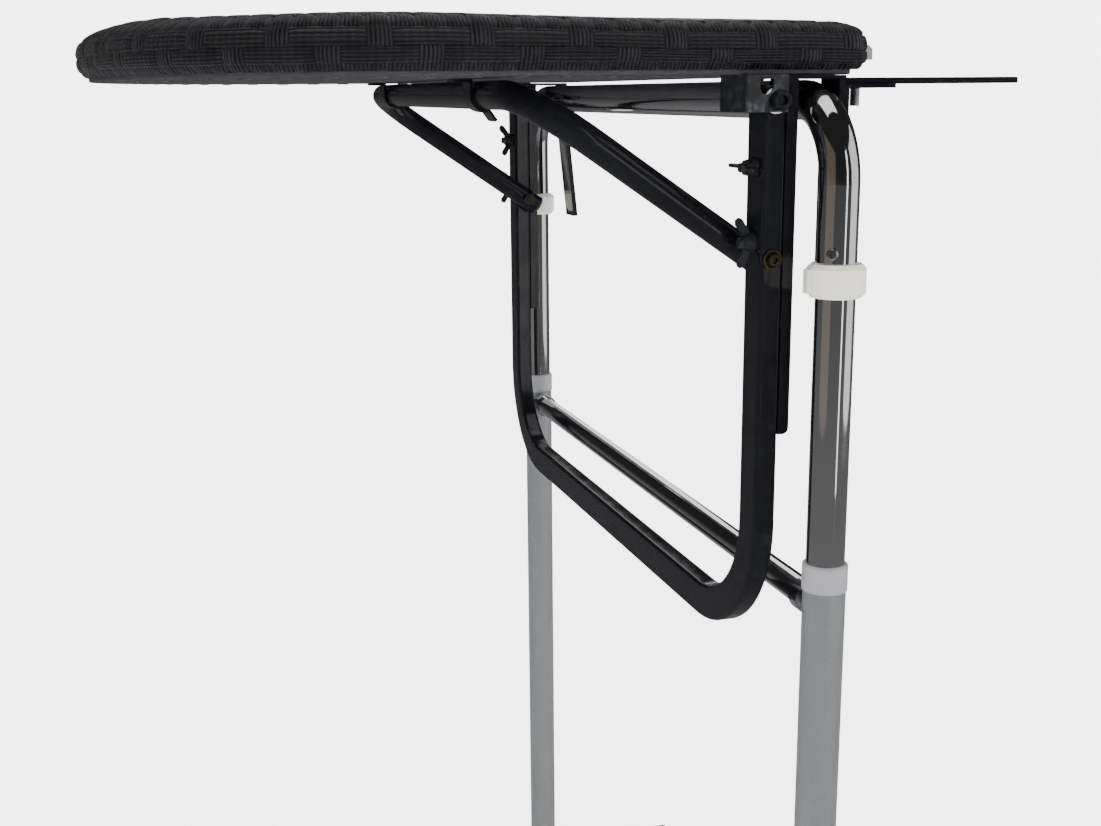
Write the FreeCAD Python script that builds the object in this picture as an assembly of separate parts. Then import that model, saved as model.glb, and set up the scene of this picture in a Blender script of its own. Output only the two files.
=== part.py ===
import FreeCAD, Part
import math
import os

# Padded D-shaped folding board on a black U-frame that hooks over a chrome tubular stand.
# Millimetres. +Z is up, -Y is the board's nose, +X is the side with the rear arm.
# The origin is on the floor, under the middle of the whole object's footprint.

os.makedirs("parts", exist_ok=True)
Vec = FreeCAD.Vector
X_AXIS = Vec(1, 0, 0)
Y_AXIS = Vec(0, 1, 0)
Z_AXIS = Vec(0, 0, 1)
SIDES = {"right": 1, "left": -1}

# Driving dimensions
DEPTH = 600.0             # nose of the board to the rear ends of the feet
BOARD_DEPTH = 478.0       # nose to rear edge of the pad
BOARD_HALF = 300.0        # half the pad's width
NOSE_DEPTH = 178.0        # how far the elliptic nose runs forward of the straight sides
BAR_Z = 900.0             # height of the chrome top bar's axis
LEG_X = 328.5             # chrome leg axes, each side of the middle
LEG_SETBACK = 157.0       # from the feet's rear ends to the chrome legs
LEG_Y = DEPTH / 2 - LEG_SETBACK

TUBE_R = 12.5             # upper chrome tube, 25 mm
TUBE_WALL = 1.5
TUBE_BEND = 50.0
LOWER_R = 14.0            # lower legs and feet, 28 mm
LOWER_WALL = 1.3
LOWER_TOP = BAR_Z - 310.0
PLUG_IN = 110.0           # how far the upper tubes stand inside the lower ones
CROSSBAR_R = 9.5
CROSSBAR_WALL = 1.2
CROSSBAR_Z = BAR_Z - 323.0
BUSHING_HEIGHT = 18.0

FOOT_FRONT = -DEPTH / 2 + 6.0
FOOT_REAR = DEPTH / 2
FOOT_Z = 20.0             # axis of the foot tubes
CAP_R = 16.5
CAP_LENGTH = 36.0
CAP_WALL = 4.0
SOLE_HALF = 14.0          # flat sole under each foot cap

FRAME_HALF = 300.0        # half the U-frame's outer width
FRAME_W = 25.0            # U-frame tube, seen from the front
FRAME_D = 15.0            # U-frame tube, seen from the side
FRAME_WALL = 1.5
FRAME_CORNER = 2.5
FRAME_BEND = 82.5
FRAME_Y = LEG_Y - 30.0
FRAME_TOP = BAR_Z + 8.0
FRAME_BOTTOM = BAR_Z - 368.0
FRAME_X = FRAME_HALF - FRAME_W / 2

PLATE_UNDER = BAR_Z + 15.5  # underside of the board plate
PLATE_T = 3.0
PLATE_INSET = 7.0
PAD_T = 31.0
PAD_TOP_ROUND = 11.0
PAD_LOW_ROUND = 6.0
PAD_SKIN = 3.0
PAD_FRONT = -DEPTH / 2
PAD_REAR = PAD_FRONT + BOARD_DEPTH
TAB_LENGTH = 9.0
TAB_HEIGHT = 9.0

STAY_R = 9.5
STAY_WALL = 1.5
STAY_X = 264.0
STAY_BEND = 50.0
STAY_PIVOT_Z = BAR_Z - 98.0
STAY_BAR_Y = LEG_Y - 180.0
STAY_BAR_Z = BAR_Z + 4.5
STAY_TAIL = 12.0          # tube beyond the pivot

RAIL_D = 7.5              # depth of the hook rail behind the U-frame leg
RAIL_WALL = 2.0
RAIL_BOTTOM = BAR_Z - 212.0
HOOK_T = 2.2
TAIL_T = 4.5
TAIL_BOTTOM = BAR_Z - 118.0
TAIL_LEAN = {"right": 0.0, "left": 6.0}  # degrees, the left tail is bent rearwards

M6 = 3.0                  # radii of the screws and bolts
M8 = 4.0
SINK_R = 5.6              # countersunk heads behind the hooks
SINK_DEPTH = 2.7
SCREW_SETBACK = 13.0      # from the back of the tail to the bracket screw
SCREW_R = 1.85            # stop screws in the chrome legs
BOARD_SCREW_R = 1.95      # screws up into the board plate
HEAD_R = 6.2              # socket heads of the hinge bolts
HEAD_HEIGHT = 6.5
RUN = 0.06                # radial clearance of running fits
HINGE_Z = BAR_Z
HINGE_Y = FRAME_Y
BRACKET_T = 2.5
BRACKET_Y0 = LEG_Y - 52.0
BRACKET_Y1 = LEG_Y - 23.5
BRACKET_LOW = BAR_Z - 7.0
BRACKET_X0 = 265.0
BRACKET_X1 = FRAME_HALF + 1.1  # inner face of the side plate, past a 1 mm washer

NUT_HEIGHTS = {"upper": BAR_Z - 41.0, "lower": BAR_Z - 88.0}
NUT_TURN = {("upper", "right"): 4.0, ("lower", "right"): 82.0,
            ("upper", "left"): 68.0, ("lower", "left"): 98.0}  # degrees of the wings from level
WING_SPAN = 32.0

COLLAR_R = 18.5
COLLAR_TOP = BAR_Z - 98.0
COLLAR_HEIGHT = 21.0
CLIP_X = 160.0
CLIP_W = 20.0
CLIP_T = 2.0
ARM_END = LEG_Y + 145.0
ARM_HALF = 7.0            # half the rear arm's width

nodes = {}


def box(x0, x1, y0, y1, z0, z1):
    x0, x1 = sorted((x0, x1))
    return Part.makeBox(x1 - x0, y1 - y0, z1 - z0, Vec(x0, y0, z0))


def rod(start, axis, length, radius):
    return Part.makeCylinder(radius, length, Vec(*start), axis)


def ring(start, axis, length, outer, inner):
    return rod(start, axis, length, outer).cut(rod(start, axis, length, inner))


def mirrored(shape):
    return shape.mirror(Vec(0, 0, 0), X_AXIS)


def sided(shape, side):
    """A shape drawn on the right, or its mirror image for the left."""
    return shape if side == "right" else mirrored(shape)


def group(solids):
    return Part.makeCompound(list(solids))


def joined(solids):
    shape = solids[0]
    for solid in solids[1:]:
        shape = shape.fuse(solid)
    return shape.removeSplitter()


def rect_wire(centre, wide, deep, corner):
    """A rounded rectangle in the XY plane."""
    a = wide / 2
    b = deep / 2
    k = corner * (1 - math.sqrt(0.5))
    edges = []
    for turn in range(4):
        ux, uy = [(1, 0), (0, 1), (-1, 0), (0, -1)][turn]
        vx, vy = -uy, ux
        p, q = (a, b) if turn % 2 == 0 else (b, a)

        def at(u, v, ux=ux, uy=uy, vx=vx, vy=vy):
            return centre + Vec(u * ux + v * vx, u * uy + v * vy, 0)

        edges.append(Part.LineSegment(at(p, -q + corner), at(p, q - corner)).toShape())
        edges.append(Part.Arc(at(p, q - corner), at(p - k, q - k), at(p - corner, q)).toShape())
    return Part.Wire(edges)


def u_path(half, y, z_ends, z_bar, bend):
    """Centre line of a U, either way up: leg, bend, cross run, bend, leg."""
    way = 1 if z_bar > z_ends else -1
    k = bend * (1 - math.sqrt(0.5))
    turn = z_bar - way * bend

    def at(x, z):
        return Vec(x, y, z)

    return Part.Wire([
        Part.LineSegment(at(-half, z_ends), at(-half, turn)).toShape(),
        Part.Arc(at(-half, turn), at(k - half, z_bar - way * k), at(bend - half, z_bar)).toShape(),
        Part.LineSegment(at(bend - half, z_bar), at(half - bend, z_bar)).toShape(),
        Part.Arc(at(half - bend, z_bar), at(half - k, z_bar - way * k), at(half, turn)).toShape(),
        Part.LineSegment(at(half, turn), at(half, z_ends)).toShape(),
    ])


def swept_tube(path, outer, inner):
    return path.makePipeShell([outer], True, True).cut(path.makePipeShell([inner], True, True))


def round_tube_u(half, y, z_ends, z_bar, bend, outer, inner):
    path = u_path(half, y, z_ends, z_bar, bend)
    start = Vec(-half, y, z_ends)
    rims = [Part.Wire(Part.makeCircle(radius, start, Z_AXIS)) for radius in (outer, inner)]
    return swept_tube(path, *rims)


def strip(points, thick, x0, x1):
    """Flat bar bent along a line of (y, z) points, with its thickness to the left of the line."""
    count = len(points)
    normals = []
    for i in range(count - 1):
        dy = points[i + 1][0] - points[i][0]
        dz = points[i + 1][1] - points[i][1]
        size = math.hypot(dy, dz)
        normals.append((-dz / size, dy / size))
    far = []
    for i in range(count):
        before = normals[max(i - 1, 0)]
        after = normals[min(i, count - 2)]
        my, mz = before[0] + after[0], before[1] + after[1]
        scale = 2 / (my * my + mz * mz)
        far.append((points[i][0] + thick * my * scale, points[i][1] + thick * mz * scale))
    outline = [Vec(x0, y, z) for y, z in points + far[::-1]]
    face = Part.Face(Part.makePolygon(outline + outline[:1]))
    return face.extrude(Vec(x1 - x0, 0, 0))


def d_outline(inset, z):
    """The board's outline: straight rear and sides, and a half-elliptic nose."""
    half = BOARD_HALF - inset
    rear = PAD_REAR - inset
    turn_y = PAD_FRONT + NOSE_DEPTH
    corner = 14.0 - inset / 2
    k = corner * (1 - math.sqrt(0.5))
    nose = Part.Ellipse(Vec(0, turn_y, z), half, NOSE_DEPTH - inset)
    edges = [Part.Arc(nose, math.pi, 2 * math.pi).toShape()]
    edges.append(Part.LineSegment(Vec(half, turn_y, z), Vec(half, rear - corner, z)).toShape())
    edges.append(Part.Arc(Vec(half, rear - corner, z), Vec(half - k, rear - k, z),
                          Vec(half - corner, rear, z)).toShape())
    edges.append(Part.LineSegment(Vec(half - corner, rear, z), Vec(corner - half, rear, z)).toShape())
    edges.append(Part.Arc(Vec(corner - half, rear, z), Vec(k - half, rear - k, z),
                          Vec(-half, rear - corner, z)).toShape())
    edges.append(Part.LineSegment(Vec(-half, rear - corner, z), Vec(-half, turn_y, z)).toShape())
    return Part.Wire(Part.sortEdges(edges)[0])


def slab(inset, z0, z1):
    return Part.Face(d_outline(inset, z0)).extrude(Vec(0, 0, z1 - z0))


def rounded_slab(inset, z0, z1, low, high):
    """The board's outline as a slab with rounded rims."""
    body = slab(inset, z0, z1)
    for z, radius in ((z0, low), (z1, high)):
        rim = [e for e in body.Edges if abs(e.BoundBox.ZMin - z) < 0.01 and abs(e.BoundBox.ZMax - z) < 0.01]
        body = body.makeFillet(radius, rim)
    return body


# Chrome stand

def top_frame():
    """Inverted U of 25 mm tube whose ends stand inside the lower legs, with the stop-screw holes."""
    shape = round_tube_u(LEG_X, LEG_Y, LOWER_TOP - PLUG_IN, BAR_Z, TUBE_BEND, TUBE_R, TUBE_R - TUBE_WALL)
    for side in SIDES:
        start, axis = stop_screw_line(side, 0)
        shape = shape.cut(rod(start, axis, TUBE_R + 5, SCREW_R + 0.05))
    return shape


def lower_leg(side):
    x = SIDES[side] * LEG_X
    leg = ring((x, LEG_Y, FOOT_Z), Z_AXIS, LOWER_TOP - FOOT_Z, LOWER_R, LOWER_R - LOWER_WALL)
    return leg.cut(rod((x, FOOT_FRONT, FOOT_Z), Y_AXIS, DEPTH, LOWER_R))


def crossbar():
    """Cross tube whose ends are coped round the lower legs."""
    tube = ring((-LEG_X, LEG_Y, CROSSBAR_Z), X_AXIS, 2 * LEG_X, CROSSBAR_R, CROSSBAR_R - CROSSBAR_WALL)
    for sign in SIDES.values():
        tube = tube.cut(rod((sign * LEG_X, LEG_Y, CROSSBAR_Z - 30), Z_AXIS, 60, LOWER_R))
    return tube


def crossbar_ferrules():
    start = LEG_X - LOWER_R - 14
    sleeve = ring((start, LEG_Y, CROSSBAR_Z), X_AXIS, 11, CROSSBAR_R + 2, CROSSBAR_R)
    return group([sleeve, mirrored(sleeve)])


def leg_bushings():
    sleeve = ring((LEG_X, LEG_Y, LOWER_TOP), Z_AXIS, BUSHING_HEIGHT, LOWER_R + 0.8, TUBE_R)
    rim = [e for e in sleeve.Edges if abs(e.BoundBox.ZMin - LOWER_TOP - BUSHING_HEIGHT) < 0.01
           and e.BoundBox.XLength > 2 * TUBE_R + 1]
    sleeve = sleeve.makeChamfer(1.2, rim)
    return group([sleeve, mirrored(sleeve)])


def foot_tube(side):
    start = FOOT_FRONT + CAP_WALL
    length = FOOT_REAR - FOOT_FRONT - 2 * CAP_WALL
    return ring((SIDES[side] * LEG_X, start, FOOT_Z), Y_AXIS, length, LOWER_R, LOWER_R - LOWER_WALL)


def foot_caps(front):
    """Moulded cap with a flat sole, one on each foot tube."""
    start = FOOT_FRONT if front else FOOT_REAR - CAP_LENGTH
    shell = rod((LEG_X, start, FOOT_Z), Y_AXIS, CAP_LENGTH, CAP_R)
    shell = shell.makeFillet(3.0, [e for e in shell.Edges if e.Curve.TypeId == "Part::GeomCircle"])
    sole = box(LEG_X - SOLE_HALF, LEG_X + SOLE_HALF, start + 3, start + CAP_LENGTH - 3, 0, FOOT_Z)
    sole = sole.makeFillet(2.5, [e for e in sole.Edges if e.BoundBox.ZLength > 5])
    cap = joined([shell, sole])
    bore = start + CAP_WALL if front else start
    cap = cap.cut(rod((LEG_X, bore, FOOT_Z), Y_AXIS, CAP_LENGTH - CAP_WALL, LOWER_R))
    return group([cap, mirrored(cap)])


def leg_collars():
    """White slit collar on each chrome leg, with a small lip each side of the slit."""
    low = COLLAR_TOP - COLLAR_HEIGHT
    collar = rod((LEG_X, LEG_Y, low), Z_AXIS, COLLAR_HEIGHT, COLLAR_R)
    collar = collar.makeChamfer(3.0, [e for e in collar.Edges if e.Curve.TypeId == "Part::GeomCircle"])
    for edge in (-3.4, 1.4):
        lip = box(LEG_X + edge, LEG_X + edge + 2, LEG_Y - COLLAR_R - 2.5, LEG_Y - TUBE_R - 1, low + 3, COLLAR_TOP - 3)
        collar = collar.fuse(lip)
    collar = collar.removeSplitter().cut(rod((LEG_X, LEG_Y, low), Z_AXIS, COLLAR_HEIGHT, TUBE_R))
    slit = box(LEG_X - 1.4, LEG_X + 1.4, LEG_Y - COLLAR_R - 5, LEG_Y, low, COLLAR_TOP)
    collar = collar.cut(slit)
    return group([collar, mirrored(collar)])


def stop_screw_line(side, out):
    """Start point and direction of the stop screw above a collar."""
    axis = Vec(SIDES[side] * math.sin(math.radians(50)), -math.cos(math.radians(50)), 0)
    base = Vec(SIDES[side] * LEG_X, LEG_Y, COLLAR_TOP + 6.5) + axis * out
    return (base.x, base.y, base.z), axis


def stop_screws():
    """Pan-head screws with a cross recess, one through each chrome leg's wall above its collar."""
    screws = []
    for side in SIDES:
        start, axis = stop_screw_line(side, TUBE_R - 7)
        shank = rod(start, axis, 7.5, SCREW_R)
        seat, axis = stop_screw_line(side, TUBE_R + 0.1)
        head = rod(seat, axis, 3.0, 3.6)
        head = head.makeFillet(1.5, [e for e in head.Edges if e.Curve.TypeId == "Part::GeomCircle"
                                     and (e.Curve.Center - Vec(*seat)).Length > 1])
        across = Vec(-axis.y, axis.x, 0)
        for wide, high in ((across, Z_AXIS), (Z_AXIS, across)):
            corner = Vec(*seat) + axis * 1.6 - wide * 2 - high * 0.4
            slot = Part.Face(Part.makePolygon([corner, corner + wide * 4, corner + wide * 4 + high * 0.8,
                                               corner + high * 0.8, corner]))
            head = head.cut(slot.extrude(axis * 2))
        screws.append(joined([head, shank]))
    return group(screws)


# Black hook-on U-frame

def u_frame():
    """U of 25 x 15 mm tube, with the hinge, stay and clamp holes."""
    start = Vec(-FRAME_X, FRAME_Y, FRAME_TOP)
    outer = rect_wire(start, FRAME_W, FRAME_D, FRAME_CORNER)
    inner = rect_wire(start, FRAME_W - 2 * FRAME_WALL, FRAME_D - 2 * FRAME_WALL, FRAME_CORNER - FRAME_WALL)
    path = u_path(FRAME_X, FRAME_Y, FRAME_TOP, FRAME_BOTTOM + FRAME_W / 2, FRAME_BEND)
    shape = swept_tube(path, outer, inner)
    for sign in SIDES.values():
        x = sign * FRAME_X
        for z, radius in ((HINGE_Z, M8), (STAY_PIVOT_Z, M6)):
            shape = shape.cut(rod((x - FRAME_W, FRAME_Y, z), X_AXIS, 2 * FRAME_W, radius))
        for z in NUT_HEIGHTS.values():
            shape = shape.cut(rod((x, FRAME_Y - FRAME_D, z), Y_AXIS, 2 * FRAME_D, M6))
    return shape


def frame_plugs():
    """Push-in plugs that close the tops of the U-frame legs."""
    wide = FRAME_W - 2 * FRAME_WALL
    deep = FRAME_D - 2 * FRAME_WALL
    stem = box(FRAME_X - wide / 2, FRAME_X + wide / 2, FRAME_Y - deep / 2, FRAME_Y + deep / 2,
               FRAME_TOP - 3, FRAME_TOP)
    stem = stem.makeChamfer(FRAME_CORNER - FRAME_WALL, [e for e in stem.Edges if e.BoundBox.ZLength > 2])
    lid = box(FRAME_X - FRAME_W / 2, FRAME_X + FRAME_W / 2, FRAME_Y - FRAME_D / 2, FRAME_Y + FRAME_D / 2,
              FRAME_TOP, FRAME_TOP + 1.5)
    lid = lid.makeChamfer(0.8, [e for e in lid.Edges if abs(e.BoundBox.ZMin - FRAME_TOP - 1.5) < 0.01])
    plug = joined([lid, stem])
    return group([plug, mirrored(plug)])


def hook_rail(side):
    """Channel clamped behind the U-frame leg; its top bends over the chrome bar and down behind it."""
    x0 = FRAME_X - FRAME_W / 2
    x1 = FRAME_X + FRAME_W / 2
    front = FRAME_Y + FRAME_D / 2
    web_top = BAR_Z + TUBE_R + 0.4
    channel = box(x0, x1, front, front + RAIL_D, RAIL_BOTTOM, web_top)
    foot_edges = [e for e in channel.Edges if abs(e.BoundBox.ZMax - RAIL_BOTTOM) < 0.01
                  and e.BoundBox.XLength > 1 and e.BoundBox.YMin > front + 1]
    channel = channel.makeFillet(4.0, foot_edges)
    hollow = box(x0 + RAIL_WALL, x1 - RAIL_WALL, front, front + RAIL_D - RAIL_WALL, RAIL_BOTTOM, web_top)
    channel = channel.cut(hollow)
    behind = LEG_Y + TUBE_R + 0.5
    over = strip([(front, web_top), (behind + TAIL_T, web_top)], HOOK_T, x0, x1)
    knee = BAR_Z - 15.0
    lean = math.tan(math.radians(TAIL_LEAN[side]))
    tail_line = [(behind + TAIL_T + (knee - TAIL_BOTTOM) * lean, TAIL_BOTTOM)]
    if lean:
        tail_line.append((behind + TAIL_T, knee))
    tail_line.append((behind + TAIL_T, web_top))
    tail = strip(tail_line, TAIL_T, x0, x1)
    corner = box(x1 - 5, x1 + 1, LEG_Y - 20, LEG_Y + 60, TAIL_BOTTOM - 1, TAIL_BOTTOM + 5)
    corner.rotate(Vec(x1 - 5, LEG_Y, TAIL_BOTTOM), Y_AXIS, -45)
    rail = joined([channel, over, tail]).cut(corner)
    return sided(rail, side)


def clamp_bolts():
    """M6 bolts that clamp the rails to the U-frame: heads in the channel, threads out of the front."""
    bolts = []
    back = FRAME_Y + FRAME_D / 2
    for side in SIDES.values():
        for z in NUT_HEIGHTS.values():
            x = side * FRAME_X
            head = rod((x, back, z), Y_AXIS, 3.4, 5.0)
            shank = rod((x, FRAME_Y - FRAME_D / 2 - 10.5, z), Y_AXIS, FRAME_D + 10.5, M6 - RUN)
            bolts.append(joined([head, shank]))
    return group(bolts)


def clamp_washers():
    """Plain washers under the wing nuts."""
    front = FRAME_Y - FRAME_D / 2
    return group(ring((side * FRAME_X, front - 1.0, z), Y_AXIS, 1.0, 6.2, M6)
                 for side in SIDES.values() for z in NUT_HEIGHTS.values())


def wing_nut(row, side):
    """M6 wing nut: a tapered hub and two swept wings, turned as it was left."""
    x = SIDES[side] * FRAME_X
    z = NUT_HEIGHTS[row]
    seat = FRAME_Y - FRAME_D / 2 - 1.05
    hub = Part.makeCone(6.0, 4.6, 6.5, Vec(x, seat, z), Vec(0, -1, 0))
    root = 3.5
    tip = WING_SPAN / 2
    low = [(root, 0.8), (root + 2.5, 0.8), (tip - 1.0, 6.2), (tip, 8.5), (tip - 1.5, 10.5), (tip - 4.5, 10.6),
           (root + 2.0, 6.4), (root, 6.4)]
    parts = [hub]
    for sign in (1, -1):
        outline = [Vec(x + sign * u, seat - v, z - 1.1) for u, v in low]
        wing = Part.Face(Part.makePolygon(outline + outline[:1])).extrude(Vec(0, 0, 2.2))
        parts.append(wing)
    nut = joined(parts).cut(rod((x, seat - 20, z), Y_AXIS, 30, M6))
    nut.rotate(Vec(x, seat, z), Y_AXIS, NUT_TURN[(row, side)])
    return nut


def rear_brackets():
    """Small angle behind each hook: a plate against the tail and a ledge to the rear."""
    x0 = FRAME_X - FRAME_W / 2
    x1 = FRAME_X + FRAME_W / 2
    back = LEG_Y + TUBE_R + 0.5 + TAIL_T
    plate = box(x0, x1, back, back + 2.5, BAR_Z - 12, BAR_Z + 9.5)
    ledge = box(x0, x1, back, back + 35, BAR_Z + 7.0, BAR_Z + 9.5)
    angle = joined([plate, ledge])
    bend = [e for e in angle.Edges if abs(e.BoundBox.YMin - back) < 0.01 and abs(e.BoundBox.YMax - back) < 0.01
            and abs(e.BoundBox.ZMin - BAR_Z - 9.5) < 0.01]
    angle = angle.makeFillet(2.0, bend)
    left = mirrored(angle).cut(screw_hole(-FRAME_X, back + SCREW_SETBACK, BAR_Z + 9.5))
    right = angle.cut(screw_hole(FRAME_X, back + SCREW_SETBACK, BAR_Z + 13.5))
    return group([right, left])


def screw_hole(x, y, top):
    """Countersunk M6 hole whose mouth is at the given height."""
    sink = Part.makeCone(M6, SINK_R + 0.1, SINK_DEPTH + 0.05, Vec(x, y, top - SINK_DEPTH), Z_AXIS)
    return sink.fuse(rod((x, y, top - 20), Z_AXIS, 20, M6))


def bracket_screws():
    """Countersunk M6 screws through the rear ledges; the right one also holds the arm."""
    y = LEG_Y + TUBE_R + 0.5 + TAIL_T + SCREW_SETBACK
    screws = []
    for side, sign in SIDES.items():
        top = BAR_Z + (13.5 if side == "right" else 9.5)
        neck = top - SINK_DEPTH
        head = Part.makeCone(M6 - RUN, SINK_R, SINK_DEPTH, Vec(sign * FRAME_X, y, neck), Z_AXIS)
        shank = rod((sign * FRAME_X, y, BAR_Z - 4), Z_AXIS, neck - BAR_Z + 4, M6 - RUN)
        socket = rod((sign * FRAME_X, y, top - 1.8), Z_AXIS, 2, 1.8)
        screws.append(joined([head, shank]).cut(socket))
    return group(screws)


def rear_arm():
    """Flat bar that lies on the right ledge and runs out to the rear."""
    start = LEG_Y + TUBE_R + 1.0
    bar = box(FRAME_X - ARM_HALF, FRAME_X + ARM_HALF, start, ARM_END, BAR_Z + 9.5, BAR_Z + 13.5)
    y = LEG_Y + TUBE_R + 0.5 + TAIL_T + SCREW_SETBACK
    bar = bar.makeFillet(0.8, [e for e in bar.Edges if e.BoundBox.YLength > 50])
    web = box(FRAME_X - 20, FRAME_X + 20, start - 1, LEG_Y + TUBE_R + 0.5 + TAIL_T, BAR_Z + 9, BAR_Z + 16)
    return bar.cut(screw_hole(FRAME_X, y, BAR_Z + 13.5)).cut(web)


def hinge_bolts():
    """M8 socket-head bolts on the board's fold axis."""
    out = BRACKET_X1 + BRACKET_T + 0.1
    head = rod((out, HINGE_Y, HINGE_Z), X_AXIS, HEAD_HEIGHT, HEAD_R)
    head = head.makeFillet(0.9, [e for e in head.Edges if abs(e.BoundBox.XMin - out - HEAD_HEIGHT) < 0.01])
    socket = rod((out + HEAD_HEIGHT / 2, HINGE_Y, HINGE_Z), X_AXIS, HEAD_HEIGHT, 3.2)
    shank_start = FRAME_X - FRAME_W / 2 - 8
    shank = rod((shank_start, HINGE_Y, HINGE_Z), X_AXIS, out - shank_start, M8 - RUN)
    bolt = joined([head, shank]).cut(socket)
    return group([bolt, mirrored(bolt)])


def hex_nut(x, y, z, radius, across, thick):
    """Hexagon nut whose axis lies along X."""
    corner = across / math.sqrt(3)
    points = [Vec(x, y + corner * math.cos(math.radians(a)), z + corner * math.sin(math.radians(a)))
              for a in range(0, 361, 60)]
    return Part.Face(Part.makePolygon(points)).extrude(Vec(thick, 0, 0)).cut(
        rod((x - 1, y, z), X_AXIS, thick + 2, radius))


def hinge_nuts():
    nut = hex_nut(FRAME_X - FRAME_W / 2 - 6.5, HINGE_Y, HINGE_Z, M8 - RUN, 13.0, 6.5)
    return group([nut, mirrored(nut)])


def hinge_washers():
    """Nylon washers between the U-frame and the hinge brackets."""
    washer = ring((FRAME_HALF, HINGE_Y, HINGE_Z), X_AXIS, 1.0, 8.0, M8)
    return group([washer, mirrored(washer)])


def stay_pivot_bolts():
    """M6 flanged bolts: heads outside the U-frame, shanks through the stay's ends."""
    inner = STAY_X - STAY_R - 7.5
    head = rod((FRAME_HALF, FRAME_Y, STAY_PIVOT_Z), X_AXIS, 1.4, 6.5)
    dome = Part.makeCone(5.0, 3.6, 2.6, Vec(FRAME_HALF + 1.4, FRAME_Y, STAY_PIVOT_Z), X_AXIS)
    shank = rod((inner, FRAME_Y, STAY_PIVOT_Z), X_AXIS, FRAME_HALF - inner, M6 - RUN)
    socket = rod((FRAME_HALF + 2.2, FRAME_Y, STAY_PIVOT_Z), X_AXIS, 3, 2.2)
    bolt = joined([head, dome, shank]).cut(socket)
    return group([bolt, mirrored(bolt)])


def stay_pivot_nuts():
    nut = hex_nut(STAY_X - STAY_R - 6.3, FRAME_Y, STAY_PIVOT_Z, M6 - RUN, 10.0, 6.0)
    return group([nut, mirrored(nut)])


# Stay

def stay_tilt():
    return math.degrees(math.atan2(STAY_BAR_Z - STAY_PIVOT_Z, FRAME_Y - STAY_BAR_Y))


def stay_length():
    return math.hypot(STAY_BAR_Z - STAY_PIVOT_Z, FRAME_Y - STAY_BAR_Y)


def laid_back(shape):
    """From hanging straight down at the pivot to the angle that props the board."""
    shape.rotate(Vec(0, FRAME_Y, STAY_PIVOT_Z), X_AXIS, -(90 + stay_tilt()))
    return shape


def stay():
    """U of 19 mm tube that swings inside the U-frame, with the pivot holes in its ends."""
    top = STAY_PIVOT_Z + STAY_TAIL
    low = STAY_PIVOT_Z - stay_length()
    shape = round_tube_u(STAY_X, FRAME_Y, top, low, STAY_BEND, STAY_R, STAY_R - STAY_WALL)
    for sign in SIDES.values():
        shape = shape.cut(rod((sign * STAY_X - 15, FRAME_Y, STAY_PIVOT_Z), X_AXIS, 30, M6))
    return laid_back(shape)


def stay_end_caps():
    """Domed plugs in the stay's two ends."""
    top = STAY_PIVOT_Z + STAY_TAIL
    dome = rod((STAY_X, FRAME_Y, top), Z_AXIS, 3.0, STAY_R)
    dome = dome.makeFillet(2.0, [e for e in dome.Edges if abs(e.BoundBox.ZMin - top - 3) < 0.01])
    stem = rod((STAY_X, FRAME_Y, top - 4), Z_AXIS, 4.0, STAY_R - STAY_WALL)
    cap = laid_back(joined([dome, stem]))
    return group([cap, mirrored(cap)])


def stay_clip(side):
    """J-shaped strap clip round the front and the underside of the stay's cross tube."""
    inner = STAY_R + 0.05
    outer = inner + CLIP_T
    x0 = CLIP_X - CLIP_W / 2
    centre = (STAY_BAR_Y, STAY_BAR_Z)
    hug = ring((x0, centre[0], centre[1]), X_AXIS, CLIP_W, outer, inner)
    quarter = box(x0, x0 + CLIP_W, centre[0] - outer - 1, centre[0], centre[1] - outer - 1, centre[1])
    hug = hug.common(quarter)
    upright = box(x0, x0 + CLIP_W, centre[0] - outer, centre[0] - inner, centre[1], PLATE_UNDER - 0.4)
    tab = box(x0, x0 + CLIP_W, centre[0] - outer - 11, centre[0] - inner, PLATE_UNDER - 2.4, PLATE_UNDER - 0.4)
    under = centre[1] - outer
    lip = strip([(centre[0] - 0.5, under), (centre[0] + 1.5, under), (centre[0] + 6.0, under - 6.0)],
                CLIP_T, x0, x0 + CLIP_W)
    clip = joined([hug, upright, tab, lip])
    return sided(clip, side)


# Board

def board_plate():
    plate = slab(PLATE_INSET, PLATE_UNDER, PLATE_UNDER + PLATE_T)
    return plate.makeFillet(1.0, [e for e in plate.Edges if abs(e.BoundBox.ZMax - PLATE_UNDER) < 0.01])


def pad_cover():
    """Woven-look cover drawn round the foam, as one closed skin."""
    low = PLATE_UNDER + PLATE_T
    outer = rounded_slab(0, low, low + PAD_T, PAD_LOW_ROUND, PAD_TOP_ROUND)
    return outer.cut(foam_core())


def foam_core():
    low = PLATE_UNDER + PLATE_T + PAD_SKIN
    return rounded_slab(PAD_SKIN, low, low + PAD_T - 2 * PAD_SKIN, 4.0, 8.0)


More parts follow.
